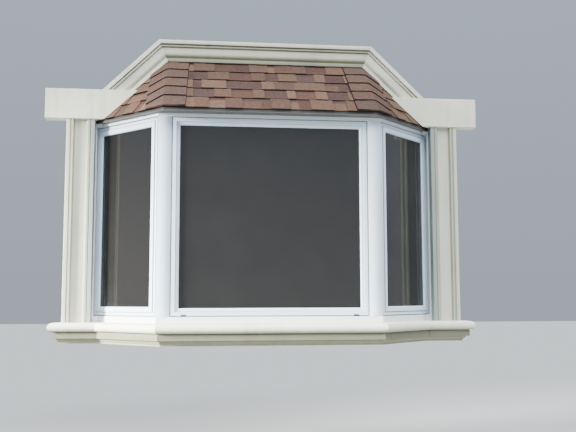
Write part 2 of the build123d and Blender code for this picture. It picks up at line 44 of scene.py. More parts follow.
yaw = math.radians(6.656)
pitch = math.radians(5.930)
roll = math.radians(-0.111)
ahead = Vector((math.sin(yaw) * math.cos(pitch), math.cos(yaw) * math.cos(pitch), math.sin(pitch)))
level = Vector((math.cos(yaw), -math.sin(yaw), 0.0))
above = level.cross(ahead)
across = level * math.cos(roll) + above * math.sin(roll)
upward = above * math.cos(roll) - level * math.sin(roll)
focal_pixels = 790.0
picture_pixels = 576.0
lens_data = bpy.data.cameras.new("camera")
lens_data.sensor_width = 36.0
lens_data.lens = focal_pixels / picture_pixels * lens_data.sensor_width
camera = bpy.data.objects.new("camera", lens_data)
bpy.context.scene.collection.objects.link(camera)
camera.matrix_world = Matrix((
    (across.x, upward.x, -ahead.x, eye.x),
    (across.y, upward.y, -ahead.y, eye.y),
    (across.z, upward.z, -ahead.z, eye.z),
    (0.0, 0.0, 0.0, 1.0),
))
bpy.context.scene.camera = camera


# Framing timber: the wall ledger under the opening, the roof ledger, two rafters and two hip
# rafters are sawn softwood, with growth rings that run along each piece and a few dark knots.
class Socket:
    """A shader socket or number that adds Math nodes when it is used in an expression."""

    def __init__(self, paint, link):
        self.paint = paint
        self.link = link

    def math(self, operation, *others):
        return self.paint.node("ShaderNodeMath", {"operation": operation}, (self,) + others)

    def __add__(self, other):
        return self.math("ADD", other)

    def __mul__(self, other):
        return self.math("MULTIPLY", other)

    def __sub__(self, other):
        return self.math("SUBTRACT", other)

    def __rsub__(self, other):
        return self.paint.node("ShaderNodeMath", {"operation": "SUBTRACT"}, (other, self))

    def __abs__(self):
        return self.math("ABSOLUTE")

    def over(self, other):
        return self.math("GREATER_THAN", other)

    def below(self, other):
        return self.math("LESS_THAN", other)

    def clamp(self):
        return self.paint.node("ShaderNodeClamp", {}, {"Value": self})

    def scaled(self, factors):
        return self.paint.node("ShaderNodeVectorMath", {"operation": "MULTIPLY"}, (self, factors))

    def along(self, direction):
        """How far a point lies along a direction."""
        settings = {"operation": "DOT_PRODUCT"}
        return self.paint.node("ShaderNodeVectorMath", settings, (self, direction), "Value")

    def part(self, name):
        """One of X, Y and Z of a vector."""
        return self.paint.node("ShaderNodeSeparateXYZ", {}, {"Vector": self}, name)


class Paint:
    """A procedural material under construction."""

    def __init__(self, name):
        self.material = bpy.data.materials.new(name)
        self.material.use_nodes = True
        self.tree = self.material.node_tree
        self.tree.nodes.clear()
        self.shader = self.tree.nodes.new("ShaderNodeBsdfPrincipled")
        output = self.tree.nodes.new("ShaderNodeOutputMaterial")
        self.tree.links.new(self.shader.outputs[0], output.inputs["Surface"])

    def plug(self, socket, value):
        if isinstance(value, Socket):
            self.tree.links.new(value.link, socket)
        elif isinstance(value, (tuple, list)) and len(value) == 3 and socket.type == "RGBA":
            socket.default_value = (*value, 1.0)
        else:
            socket.default_value = value

    def node(self, kind, settings, inputs, output=0):
        """Adds a node of a type: its settings first, then the values or links of its sockets."""
        made = self.tree.nodes.new(kind)
        for key, value in settings.items():
            if key == "stops":
                ramp = made.color_ramp
                while len(ramp.elements) < len(value):
                    ramp.elements.new(0.5)
                for element, (place, colour) in zip(ramp.elements, value):
                    element.position = place
                    element.color = (*colour, 1.0)
            else:
                setattr(made, key, value)
        pairs = inputs.items() if isinstance(inputs, dict) else enumerate(inputs)
        for key, value in pairs:
            self.plug(made.inputs[key], value)
        return Socket(self, made.outputs[output])

    def place(self):
        """The point on the object, in metres."""
        return self.node("ShaderNodeTexCoord", {}, {}, "Object")

    def facing(self):
        """The surface normal."""
        return self.node("ShaderNodeNewGeometry", {}, {}, "Normal")

    def grain(self, vector, scale, detail=4.0, rough=0.5, stretch=None):
        """Noise from 0 to 1, with features of about 1 / scale metres."""
        if stretch:
            vector = vector.scaled(stretch)
        return self.node(
            "ShaderNodeTexNoise", {}, {"Vector": vector, "Scale": scale, "Detail": detail, "Roughness": rough}
        )

    def cells(self, vector, scale, output="Distance", random_share=1.0):
        """Cells of about 1 / scale metres: the distance to their middles, or a random colour each."""
        return self.node(
            "ShaderNodeTexVoronoi", {}, {"Vector": vector, "Scale": scale, "Randomness": random_share}, output
        )

    def waves(self, vector, kind, direction, scale, distortion, detail_scale=1.0):
        """Bands or rings that are 0.314 / scale metres apart."""
        chosen = {"wave_type": kind, "bands_direction": direction, "rings_direction": direction}
        values = {"Vector": vector, "Scale": scale, "Distortion": distortion, "Detail Scale": detail_scale}
        return self.node("ShaderNodeTexWave", chosen, values, "Fac")

    def blend(self, amount, first, second, mode="MIX"):
        """One colour over another."""
        return self.node(
            "ShaderNodeMix", {"data_type": "RGBA", "blend_type": mode}, {0: amount, 6: first, 7: second}, 2
        )

    def ramp(self, value, *stops):
        return self.node("ShaderNodeValToRGB", {"stops": stops}, {"Fac": value})

    def bump(self, height, depth, strength=1.0):
        return self.node("ShaderNodeBump", {}, {"Height": height, "Distance": depth, "Strength": strength})

    def finish(self, **values):
        """Sets the shader's own sockets and returns the material."""
        names = {
            "colour": "Base Color", "rough": "Roughness", "normal": "Normal", "alpha": "Alpha",
            "specular": "Specular IOR Level", "coat": "Coat Weight", "coat_rough": "Coat Roughness",
        }
        for key, value in values.items():
            self.plug(self.shader.inputs[names[key]], value)
        return self.material


def dress(material, *names):
    """Gives CAD nodes a material in place of their plain one."""
    for name in names:
        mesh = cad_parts[name].data
        mesh.materials.clear()
        mesh.materials.append(material)


def pair(stem):
    """The names of a piece on the left and on the right."""
    return (stem + "_left", stem + "_right")


def sawn_pine(name, along, pith):
    """Softwood with its grain along a direction and its pith through a given point."""
    paint = Paint(name)
    turn = tuple(Vector(along).to_track_quat("X", "Z").to_euler())
    placed = {"Vector": paint.place(), "Location": pith, "Rotation": turn}
    spot = paint.node("ShaderNodeMapping", {"vector_type": "TEXTURE"}, placed)
    rings = paint.waves(spot.scaled((0.05, 1.0, 1.0)), "RINGS", "X", 30.0, 2.4, 0.5)
    fibre = paint.grain(spot, 1.0, 3.0, 0.6, (24.0, 700.0, 700.0))
    stain = paint.grain(spot, 1.6, 3.0, 0.5)
    knots = ((0.055 - paint.cells(spot.scaled((0.7, 1.0, 1.0)), 3.4)) * 45.0).clamp()
    wood = paint.ramp(
        rings, (0.20, (0.66, 0.47, 0.28)), (0.62, (0.57, 0.38, 0.205)), (0.95, (0.38, 0.225, 0.11))
    )
    fuzzy = paint.blend(fibre * 0.35, wood, (0.42, 0.28, 0.16))
    stained = paint.blend(((stain - 0.45) * 1.6).clamp() * 0.4, fuzzy, (0.36, 0.26, 0.17))
    return paint.finish(
        colour=paint.blend(knots, stained, (0.13, 0.065, 0.035)), rough=fibre * 0.2 + 0.62, specular=0.3,
        normal=paint.bump(rings * 0.5 + fibre, 0.0007, 0.6),
    )


dress(sawn_pine("ledger_pine", (1.0, 0.0, 0.0), (0.0, -0.13, -0.05)), "wall_ledger")
dress(sawn_pine("roof_ledger_pine", (1.0, 0.0, 0.0), (0.3, -0.10, 1.80)), "roof_ledger")
dress(sawn_pine("rafter_pine", (0.0, 0.72, 0.69), (0.20, -0.3, 1.60)), *pair("rafter"))
dress(sawn_pine("right_hip_pine", (0.0, 0.72, 0.69), (0.68, -0.3, 1.62)), "hip_rafter_right")
dress(sawn_pine("left_hip_pine", (0.0, 0.72, 0.69), (-0.68, -0.3, 1.62)), "hip_rafter_left")

# Platform and head board: 38 mm boards with a clear-coated veneer that runs along the wall; their
# edges towards the room show thin plies.
for name, seed in (("seat_board", 0.0), ("head_board", 3.7)):
    paint = Paint(name + "_veneer")
    spot = paint.place()
    shifted = paint.node("ShaderNodeVectorMath", {"operation": "ADD"}, (spot, (seed, seed, 0.0)))
    figure = paint.waves(shifted.scaled((0.10, 1.0, 0.0)), "BANDS", "Y", 7.0, 5.0, 1.5)
    pores = paint.grain(shifted, 1.0, 3.0, 0.65, (26.0, 620.0, 620.0))
    veneer = paint.ramp(
        figure, (0.10, (0.60, 0.40, 0.215)), (0.55, (0.53, 0.335, 0.165)), (0.92, (0.43, 0.255, 0.115))
    )
    pored = paint.blend(((pores - 0.46) * 2.5).clamp() * 0.45, veneer, (0.27, 0.15, 0.07))
    upright = abs(paint.facing().part("Z")).below(0.5)
    plies = paint.waves(spot, "BANDS", "Z", 56.0, 0.25)
    plywood = paint.ramp(plies, (0.30, (0.62, 0.45, 0.27)), (0.60, (0.33, 0.20, 0.10)))
    edge = paint.blend(spot.part("Y").below(0.045), plywood, (0.70, 0.72, 0.74))
    tip = abs(spot.part("X")).over(1.19) * spot.part("Y").below(0.075)
    face = paint.blend(tip, pored, (0.62, 0.66, 0.70))
    board = paint.finish(
        colour=paint.blend(upright, face, edge), rough=pores * 0.12 + 0.30, specular=0.45,
        normal=paint.bump(pores + plies * upright, 0.0004, 0.4), coat=0.35, coat_rough=0.22,
    )
    dress(board, name)

# Insulation under the platform: blue extruded foam with a fine cell skin and cut edges.
paint = Paint("foam_insulation")
spot = paint.place()
cells = paint.cells(spot, 330.0)
cloudy = paint.grain(spot, 9.0, 3.0, 0.5)
blue = paint.ramp(cloudy, (0.35, (0.36, 0.52, 0.66)), (0.65, (0.44, 0.59, 0.71)))
foam = paint.finish(
    colour=paint.blend(cells * 0.35, blue, (0.62, 0.72, 0.80)), rough=cells * 0.15 + 0.68, specular=0.3,
    normal=paint.bump(cells, 0.0008, 0.6),
)
dress(foam, "seat_insulation")

# Aprons and head band: white coated coil bent round the bay above and below the windows, faintly
# wavy between its nails and a little dusty.
paint = Paint("bent_cladding")
spot = paint.place()
dents = paint.grain(spot, 4.0, 2.0, 0.4)
dust = paint.grain(spot, 55.0, 4.0, 0.6)
runs = paint.grain(spot, 1.0, 3.0, 0.6, (34.0, 34.0, 2.0))
sheet = paint.blend(((runs - 0.5) * 2.0).clamp() * 0.35, (0.80, 0.835, 0.855), (0.66, 0.68, 0.67))
cladding = paint.finish(
    colour=paint.blend(dust * 0.16, sheet, (0.50, 0.50, 0.48)), rough=dust * 0.18 + 0.34, specular=0.5,
    normal=paint.bump(dents, 0.004, 0.5),
)
dress(cladding, "head_cladding", "seat_cladding")

# Panel that closes the platform from below: painted board with a light orange-peel skin, stained
# where water has run back from the sill.
paint = Paint("painted_underside")
spot = paint.place()
peel = paint.grain(spot, 260.0, 2.0, 0.5)
stain = paint.grain(spot, 3.4, 5.0, 0.6)
cream = paint.ramp(
    stain, (0.36, (0.44, 0.425, 0.36)), (0.55, (0.60, 0.59, 0.52)), (0.75, (0.64, 0.635, 0.565))
)
underside = paint.finish(
    colour=cream, rough=peel * 0.15 + 0.6, specular=0.3, normal=paint.bump(peel, 0.0009, 0.5)
)
dress(underside, "seat_panel")

# Jambs in the wall: white gloss paint on wood, with brush marks up and down.
paint = Paint("painted_jamb")
spot = paint.place()
brush = paint.grain(spot, 1.0, 3.0, 0.6, (420.0, 420.0, 5.0))
wear = paint.grain(spot, 8.0, 4.0, 0.6)
white = paint.blend(((wear - 0.52) * 3.0).clamp() * 0.22, (0.76, 0.75, 0.71), (0.60, 0.57, 0.50))
jamb_paint = paint.finish(
    colour=white, rough=brush * 0.14 + 0.30, specular=0.5, normal=paint.bump(brush, 0.0004, 0.6)
)
dress(jamb_paint, *pair("wall_jamb"))


# Window frames, sashes, bead and corner posts: white vinyl extrusions whose white is tinted blue as a
# painted sky reflection. The frames' corners show fine lines where their mitres were welded, and a
# dark band round the rim of each frame, sash and bead is painted shade.
def upright_field(spot, node, along):
    """How far a point lies aside and above a flat upright piece's middle, and the piece's half sizes."""
    points = [vertex.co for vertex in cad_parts[node].data.vertices]
    runs = [point.dot(Vector(along)) for point in points]
    heights = [point.z for point in points]
    aside = abs(spot.along(along) - (max(runs) + min(runs)) / 2.0)
    risen = abs(spot.part("Z") - (max(heights) + min(heights)) / 2.0)
    return aside, risen, (max(runs) - min(runs)) / 2.0, (max(heights) - min(heights)) / 2.0


def white_vinyl(name, node=None, along=(1.0, 0.0, 0.0), groove=0.0072):
    """Vinyl tinted blue as a painted sky reflection; on a frame given by its node, weld lines at the corners
    and a dark rim band of painted shade.
    """
    paint = Paint(name)
    spot = paint.place()
    haze = paint.grain(spot, 3.1, 3.0, 0.5)
    dust = paint.grain(spot, 70.0, 4.0, 0.6)
    drips = paint.grain(spot, 1.0, 3.0, 0.6, (46.0, 46.0, 2.4))
    # The blue in this white is a painted sky reflection; the vinyl itself is white.
    white = paint.ramp(haze, (0.3, (0.60, 0.715, 0.82)), (0.7, (0.65, 0.765, 0.865)))
    dust_and_painted_light = paint.blend(((drips - 0.52) * 2.4).clamp() * 0.16 + dust * 0.08, white, (0.50, 0.52, 0.54))
    relief = dust
    if node:
        aside, risen, half_width, half_height = upright_field(spot, node, along)
        weld = abs(aside - risen - (half_width - half_height)).below(0.0006)
        rim = aside.over(half_width - groove) + risen.over(half_height - groove)
        # Painted shade: a dark bluish band round the rim of the frame, sash or bead.
        dust_and_painted_light = paint.blend(rim.clamp() * 0.8, dust_and_painted_light, (0.12, 0.145, 0.175))
        dust_and_painted_light = paint.blend(weld * 0.30, dust_and_painted_light, (0.36, 0.39, 0.43))
        relief = dust - weld * 2.0
    return paint.finish(
        colour=dust_and_painted_light, rough=dust * 0.16 + 0.24, specular=0.5, normal=paint.bump(relief, 0.0004, 0.4)
    )


half_root = math.sqrt(0.5)
dress(white_vinyl("picture_frame_vinyl", "picture_frame"), "picture_frame")
dress(white_vinyl("picture_bead_vinyl", "picture_bead", groove=0.0022), "picture_bead")
dress(white_vinyl("post_vinyl"), *pair("corner_post"))
for hand, side in (("left", -1.0), ("right", 1.0)):
    for stem in ("casement_frame", "casement_sash"):
        name = stem + "_" + hand
        groove = 0.0072 if stem == "casement_frame" else 0.0030
        dress(white_vinyl(name + "_vinyl", name, (side * half_root, half_root, 0.0), groove), name)


def finish_piece(name, bm, material, *nodes):
    """Makes the object of a piece that rides on the bay and may stand for CAD nodes."""
    bmesh.ops.recalc_face_normals(bm, faces=bm.faces)
    mesh = bpy.data.meshes.new(name)
    bm.to_mesh(mesh)
    bm.free()
    mesh.materials.append(material)
    piece = bpy.data.objects.new(name, mesh)
    bpy.context.scene.collection.objects.link(piece)
    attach(piece, "root")
    if nodes:
        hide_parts(*nodes)
    return piece


def slab(bm, centre, sizes, axes, soften):
    """A small block along three axes, with its edges rounded off."""
    made = bmesh.ops.create_cube(bm, size=1.0)
    turn = Matrix(axes).transposed().to_4x4()
    stretch = Matrix.Diagonal((*sizes, 1.0))
    bmesh.ops.transform(bm, matrix=Matrix.Translation(centre) @ turn @ stretch, verts=made["verts"])
    edges = list({edge for vertex in made["verts"] for edge in vertex.link_edges})
    bmesh.ops.bevel(
        bm, geom=edges, offset=soften, segments=2, profile=0.5, affect="EDGES", clamp_overlap=True
    )


# Weep slots: at the foot of the picture frame two slots let rain out of its bottom channel; each is a
# near-black slab on the frame's face, painted shade that stands for the opening.
paint = Paint("weep_dark")
spot = paint.place()
# Painted shade: near black, standing for the dark inside of each slot.
dark = paint.finish(colour=(0.012, 0.012, 0.013), rough=paint.grain(spot, 90.0) * 0.2 + 0.6, specular=0.2)
bm = bmesh.new()
square_axes = ((1.0, 0.0, 0.0), (0.0, 1.0, 0.0), (0.0, 0.0, 1.0))
slot_sizes = (0.036, 0.0064, 0.0104)
for middle in (-0.592, 0.592):
    slab(bm, (middle, -0.4173, 0.0894), slot_sizes, square_axes, 0.0005)
finish_piece("weep_slots", bm, dark)


# Glass units: two panes with a dark spacer bar round their edge; they are drawn near black and nearly
# opaque, painted shade that stands for the unlit room, with a lighter film that is partly dust and
# partly painted reflection, and their faces are very slightly wavy.
def sealed_unit(name, node, along, opacity, dust):
    """Near-black glass of a given opacity, painted shade for the room behind, with a share of lighter film
    (dust and painted reflection) and a spacer bar round its edge.
    """
    paint = Paint(name)
    spot = paint.place()
    aside, risen, half_width, half_height = upright_field(spot, node, along)
    bar_width = 0.0145
    spacer = (aside.over(half_width - bar_width) + risen.over(half_height - bar_width)).clamp()
    film = paint.grain(spot, 5.0, 5.0, 0.6)
    roll_wave = paint.grain(spot, 1.0, 1.0, 0.4, (3.0, 3.0, 7.0))
    # Painted shade: the pane is near black and nearly opaque, standing for the unlit room behind it; its
    # lighter film is partly dust and partly painted reflection.
    pane = paint.blend(film * dust, (0.0105, 0.0098, 0.0090), (0.17, 0.165, 0.155))
    return paint.finish(
        colour=paint.blend(spacer, pane, (0.035, 0.036, 0.037)),
        rough=film * 0.05 + 0.015, specular=1.0, alpha=(spacer + opacity).clamp(),
        normal=paint.bump(roll_wave, 0.0016, 0.5),
    )


for name, node, along, opacity, dust in (
    ("picture_unit", "picture_glass", (1.0, 0.0, 0.0), 0.925, 0.055),
    ("left_unit", "casement_glass_left", (-half_root, half_root, 0.0), 0.78, 0.002),
    ("right_unit", "casement_glass_right", (half_root, half_root, 0.0), 0.82, 0.200),
):
    dress(sealed_unit(name, node, along, opacity, dust), node)

# Insect screens: white roll-formed frames with charcoal cloth that lets most of the light through.
screen_plane = 0.7895
for hand, side in (("left", -1.0), ("right", 1.0)):
    paint = Paint("screen_" + hand)
    spot = paint.place()
    depth = spot.along((side * half_root, -half_root, 0.0))
    cloth = abs(depth - screen_plane).below(0.0007)
    specks = paint.grain(spot, 60.0, 3.0, 0.6)
    weave = paint.grain(spot, 600.0, 1.0, 0.5)
    bars = paint.blend(specks * 0.2, (0.72, 0.73, 0.73), (0.45, 0.45, 0.44))
    screen = paint.finish(
        colour=paint.blend(cloth, bars, (0.045, 0.046, 0.048)),
        rough=specks * 0.2 + 0.38, alpha=1.0 - cloth * (0.62 - weave * 0.25),
        normal=paint.bump(specks, 0.0003, 0.4),
    )
    dress(screen, "insect_screen_" + hand)

# Cranks: folding handles cast in zinc with white enamel, rubbed slightly grey in small patches.
paint = Paint("crank_enamel")
spot = paint.place()
rub = paint.grain(spot, 130.0, 4.0, 0.6)
enamel = paint.blend(((rub - 0.56) * 4.0).clamp() * 0.4, (0.76, 0.76, 0.74), (0.42, 0.41, 0.39))
crank_paint = paint.finish(
    colour=enamel, rough=rub * 0.15 + 0.25, specular=0.5, normal=paint.bump(rub, 0.0002, 0.4)
)
dress(crank_paint, *pair("crank_handle"))

# Screen tabs: two small plastic pulls stand on the lower bar of each screen.
paint = Paint("pull_tab")
spot = paint.place()
tab_plastic = paint.finish(colour=(0.70, 0.71, 0.70), rough=paint.grain(spot, 150.0) * 0.2 + 0.35)
bm = bmesh.new()
for side in (-1.0, 1.0):
    flank_axes = ((side * half_root, half_root, 0.0), (side * half_root, -half_root, 0.0), (0.0, 0.0, 1.0))
    for run in (0.455, 0.715):
        sideways = Vector(flank_axes[0]) * run
        middle = sideways + Vector(flank_axes[1]) * screen_plane + Vector((0.0, 0.0, 0.158))
        slab(bm, middle, (0.020, 0.0125, 0.010), flank_axes, 0.0015)
finish_piece("screen_tabs", bm, tab_plastic)

# Soffit: vented strip under the eave, off-white in itself but drawn dark grey as painted shade, with dust on
# it and rows of small round vents painted near black as painted shade in their holes.
paint = Paint("vented_soffit")
spot = paint.place()
holes = paint.cells(spot.scaled((1.0, 1.0, 0.0)), 105.0, "Distance", 0.0).below(0.20)
# Painted shade: the vents are near-black spots on the flat underside, standing for their holes.
vents = holes * paint.facing().part("Z").below(-0.5)
dust = paint.grain(spot, 30.0, 4.0, 0.6)
# Painted shade: the soffit's off-white is drawn dark grey, as under the eave.
soffit_dust_and_shade = paint.blend(dust * 0.5, (0.150, 0.156, 0.160), (0.10, 0.10, 0.10))
soffit = paint.finish(
    colour=paint.blend(vents, soffit_dust_and_shade, (0.02, 0.02, 0.02)), rough=dust * 0.2 + 0.5, specular=0.3
)
dress(soffit, "eave_soffit")

# Roof deck: strand board on the rafters, straw-coloured flakes pressed together with dark glue
# between them.
paint = Paint("strand_board")
spot = paint.place()
turned = paint.node(
    "ShaderNodeMapping", {"vector_type": "POINT"}, {"Vector": spot, "Rotation": (0.3, 0.2, 0.9)}
)
crossed = turned.scaled((1.6, 0.6, 1.0))
flakes = paint.cells(spot.scaled((0.55, 1.3, 1.0)), 34.0, "Color").part("X")
chips = paint.cells(crossed, 48.0, "Color").part("Y")
glue = paint.cells(crossed, 48.0)
fibre = paint.grain(spot, 1.0, 3.0, 0.6, (260.0, 60.0, 60.0))
straw = paint.ramp(
    flakes * 0.55 + chips * 0.45, (0.15, (0.36, 0.235, 0.12)), (0.5, (0.58, 0.42, 0.235)),
    (0.85, (0.70, 0.54, 0.33)),
)
deck = paint.blend(fibre * 0.3, straw, (0.40, 0.27, 0.14))
strands = paint.finish(
    colour=paint.blend((glue - 0.42).clamp() * 1.1, deck, (0.18, 0.10, 0.05)),
    rough=fibre * 0.2 + 0.58, specular=0.3,
    normal=paint.bump(flakes + chips + fibre * 0.5, 0.0011, 0.6),
)
dress(strands, "roof_sheathing")

# Drip edge: bent brown aluminium, drawn much darker than its brown as painted shade, so that it shows as a
# dark line under the first course.
paint = Paint("drip_metal")
spot = paint.place()
scuff = paint.grain(spot, 45.0, 4.0, 0.6)
# Painted shade: this brown is far darker than the metal's own, giving the shaded line under the first course.
brown_and_painted_shade = paint.blend(((scuff - 0.55) * 3.0).clamp() * 0.3, (0.070, 0.061, 0.056), (0.125, 0.112, 0.102))
drip_metal = paint.finish(
    colour=brown_and_painted_shade, rough=scuff * 0.2 + 0.36, specular=0.4, normal=paint.bump(scuff, 0.0004, 0.4)
)
dress(drip_metal, "drip_edge")

# Shingles: laminated strips in several browns, 126 mm exposed on the front slope. Each course is a
# base strip with thicker tabs of uneven width on it; the recesses between them are dark at the top, partly
# the printed shadow band of such shingles and partly painted shade under the next butts. Thin near-black
# strips under the raised tabs' butts are painted shadow, and the butts' near-black edges are partly painted
# shade.
eave_out = 0.52607
eave_line = 1.27200
eave_height = 1.5025
head_half = 0.726
head_out = 0.060
head_height = 1.9485
rake = (head_height - eave_height) / (eave_line - head_out - head_half)
butts = [0.0, 0.100, 0.187, 0.274, 0.361, 0.448, 0.535]
corner = Vector((eave_line - eave_out, -eave_out, eave_height))
front_rise = Vector((0.0, eave_out - head_out, head_height - eave_height)).normalized()
front_normal = Vector((0.0, -front_rise.z, front_rise.y))
side_normal = Vector((rake, -rake, 1.0)).normalized()
side_along = Vector((1.0, 1.0, 0.0)).normalized()
side_rise = side_normal.cross(side_along).normalized()
tan_tones = [(0.126, 0.077, 0.052), (0.100, 0.059, 0.041), (0.088, 0.052, 0.039), (0.112, 0.067, 0.046)]
deep_tones = [(0.067, 0.037, 0.029), (0.058, 0.035, 0.031), (0.076, 0.042, 0.031), (0.063, 0.040, 0.036)]
# Butts, sides and undersides of tabs and caps take this near-black tone: partly the bare asphalt edge, partly
# painted shade along the butts.
edge_and_shade_tone = (0.005, 0.004, 0.004)
tab_thick = 0.0042
recess_depth = 0.0040
head_sink = 0.0066
head_lap = 0.010
base_top = -0.0078
base_foot = -0.0112
tab_climb = 0.93
recess_climb = 1.06


def mirrored(vector):
    """The vector that mirrors one of the right side to the left."""
    return Vector((-vector.x, vector.y, vector.z))


def wedge(bm, tones, ring_low, ring_high, tone, climb=1.0):
    """A strip between two rings of points, its first half the top face and its second half the bottom.

    The alpha of its tone climbs from 0 at the low ring to a given value at the high ring.
    """
    low = [bm.verts.new(point) for point in ring_low]
    high = [bm.verts.new(point) for point in ring_high]
    count = len(low)
    half = count // 2
    faces = []
    for index in range(count):
        following = (index + 1) % count
        face = bm.faces.new((low[index], low[following], high[following], high[index]))
        faces.append((face, index < half - 1))
    faces.append((bm.faces.new(list(reversed(low))), False))
    faces.append((bm.faces.new(high), False))
    ends = set(high)
    for face, outer in faces:
        for loop in face.loops:
            loop[tones] = (*(tone if outer else edge_and_shade_tone), climb if loop.vert in ends else 0.0)


def cut(bm, point, normal):
    """Takes away what lies beyond a plane and closes the cut."""
    geometry = bm.verts[:] + bm.edges[:] + bm.faces[:]
    made = bmesh.ops.bisect_plane(
        bm, geom=geometry, dist=0.00001, plane_co=point, plane_no=normal, clear_outer=True
    )
    edges = [item for item in made["geom_cut"] if isinstance(item, bmesh.types.BMEdge)]
    bmesh.ops.holes_fill(bm, edges=edges, sides=0)


def course_field(seed, origin, along, rise, normal, start, end):
    """Base strips and tabs of one slope between two places along its eave."""
    chance = random.Random(seed)
    bm = bmesh.new()
    tones = bm.loops.layers.float_color.new("tone")
    for row in range(len(butts) - 1):
        foot = butts[row] / rise.z
        head = butts[row + 1] / rise.z + head_lap
        place = start - chance.uniform(0.0, 0.25)
        raised = chance.random() < 0.5
        while place < end:
            width = chance.uniform(0.06, 0.19) if raised else chance.uniform(0.05, 0.16)
            tone = chance.choice(tan_tones) if raised or chance.random() < 0.35 else chance.choice(deep_tones)
            shade = chance.uniform(0.90, 1.10)
            tone = tuple(value * shade for value in tone)
            lift = 0.0 if raised else -recess_depth
            sag = chance.uniform(0.0, 0.0016)
            foot_left = foot + chance.uniform(-0.0020, 0.0024)
            foot_right = foot + chance.uniform(-0.0020, 0.0024)
            edge = min(place + width, end + 0.3)
            low = []
            high = []
            for where, level in ((place, 0.0), (edge, 0.0), (edge, -tab_thick), (place, -tab_thick)):
                near = foot_left if where == place else foot_right
                low.append(origin + along * where + rise * near + normal * (lift + level - sag * 0.3))
                high.append(origin + along * where + rise * head + normal * (lift + level - head_sink))
            wedge(bm, tones, low, high, tone, tab_climb if raised else recess_climb)
            if raised:
                # Painted shadow: a thin near-black strip on the course below, just under each raised tab's
                # butt.
                shade_low = [point - rise * 0.0050 - normal * 0.0040 for point in low]
                shade_high = [point - normal * 0.0030 for point in low]
                wedge(bm, tones, shade_low, shade_high, edge_and_shade_tone)
            place = edge + 0.0006
            raised = not raised if chance.random() < 0.82 else raised
        strip = [(start, base_top), (end, base_top), (end, base_foot), (start, base_foot)]
        low = [origin + along * where + rise * (foot + 0.004) + normal * level for where, level in strip]
        high = [origin + along * where + rise * head + normal * (level - 0.0012) for where, level in strip]
        wedge(bm, tones, low, high, deep_tones[0])
    return bm


paint = Paint("laminated_shingle")
spot = paint.place()
tone = paint.node("ShaderNodeAttribute", {"attribute_name": "tone"}, {}, "Color")
climb = paint.node("ShaderNodeAttribute", {"attribute_name": "tone"}, {}, "Alpha")
granules = paint.grain(spot, 330.0, 2.0, 0.75)
mottle = paint.grain(spot, 70.0, 4.0, 0.7)
patch = paint.grain(spot, 7.0, 2.0, 0.5)
speck = paint.ramp(
    granules * 0.55 + mottle * 0.45, (0.36, (0.52, 0.50, 0.49)), (0.50, (1.0, 1.0, 1.0)),
    (0.62, (1.62, 1.56, 1.50)),
)
uneven = paint.grain(spot, 9.0, 2.0, 0.5)
# A dark band at the top of each exposure, strongest on recessed tabs: partly the printed shadow band of
# laminated shingles, partly painted shade under the next course's butts.
print_and_shade_band = ((climb - 0.84) * 20.0).clamp() * ((uneven - 0.22) * 3.4).clamp() * 0.95
weathered = paint.blend(patch * 0.22, paint.blend(1.0, tone, speck, "MULTIPLY"), (0.070, 0.045, 0.036))
shingle = paint.finish(
    colour=paint.blend(print_and_shade_band, weathered, (0.009, 0.006, 0.006)), rough=granules * 0.1 + 0.86, specular=0.12,
    normal=paint.bump(granules + mottle * 0.5, 0.0016, 0.8),
)
hip_side = (side_normal - front_normal).normalized()
right_way = Vector((1.0, 0.0, 0.0))
wall_way = Vector((0.0, 1.0, 0.0))
wall_cut = Vector((0.0, -0.0004, 0.0))
pilaster_cut = Vector((1.2465, 0.0, 0.0))
eave_middle = Vector((0.0, -eave_out, eave_height))
front_field = course_field(7, eave_middle, right_way, front_rise, front_normal, -0.80, 0.80)
cut(front_field, corner, hip_side)
cut(front_field, mirrored(corner), mirrored(hip_side))
cut(front_field, wall_cut, wall_way)
shingles_front = finish_piece("front_tabs", front_field, shingle, "shingles_front")
for hand, seed in (("right", 23), ("left", 41)):
    turn = Vector if hand == "right" else mirrored
    slope = [turn(vector) for vector in (corner, side_along, side_rise, side_normal)]
    field = course_field(seed, *slope, -0.75, 0.80)
    cut(field, turn(corner), -turn(hip_side))
    cut(field, wall_cut, wall_way)
    cut(field, turn(pilaster_cut), turn(right_way))
    piece = finish_piece("side_tabs_" + hand, field, shingle, "shingles_" + hand)

# Hip caps: single shingles folded over each hip, each lapping the one below; the fold is soft, and
# the caps' butts line up with the courses. A near-black strip along each cap's front edge is
# painted shadow.
hip_way = (Vector((head_half, -head_out, head_height)) - corner).normalized()
cap_reach = 0.150
cap_butt = 0.0104
cap_head = 0.0044
fold_drop = 0.0021
base_lift = 0.0003
cap_tones = [(0.084, 0.050, 0.038), (0.092, 0.055, 0.041), (0.076, 0.046, 0.038), (0.084, 0.053, 0.043)]


def cap_ring(start, way, legs, faces_out, along, skew, level):
    """Points round a cap at one place along its hip: over its top from the front leg, then back below."""
    ridge = (faces_out[0] + faces_out[1]).normalized()
    lean = 1.0 / ridge.dot(faces_out[0])
    shares = (1.0, 0.72, 0.45, 0.24, 0.12)
    outer = [(legs[0] * (cap_reach * share), faces_out[0], share) for share in shares]
    outer.append((None, ridge, 0.0))
    outer += [(legs[1] * (cap_reach * share), faces_out[1], share) for share in reversed(shares)]
    top = []
    base = []
    for sideways, out_way, share in outer:
        where = start + way * (along + skew * share)
        if sideways is None:
            top.append(where + ridge * (level * lean - fold_drop))
            base.append(where + ridge * base_lift)
        else:
            top.append(where + sideways + out_way * level)
            base.append(where + sideways + out_way * base_lift)
    return top + list(reversed(base))


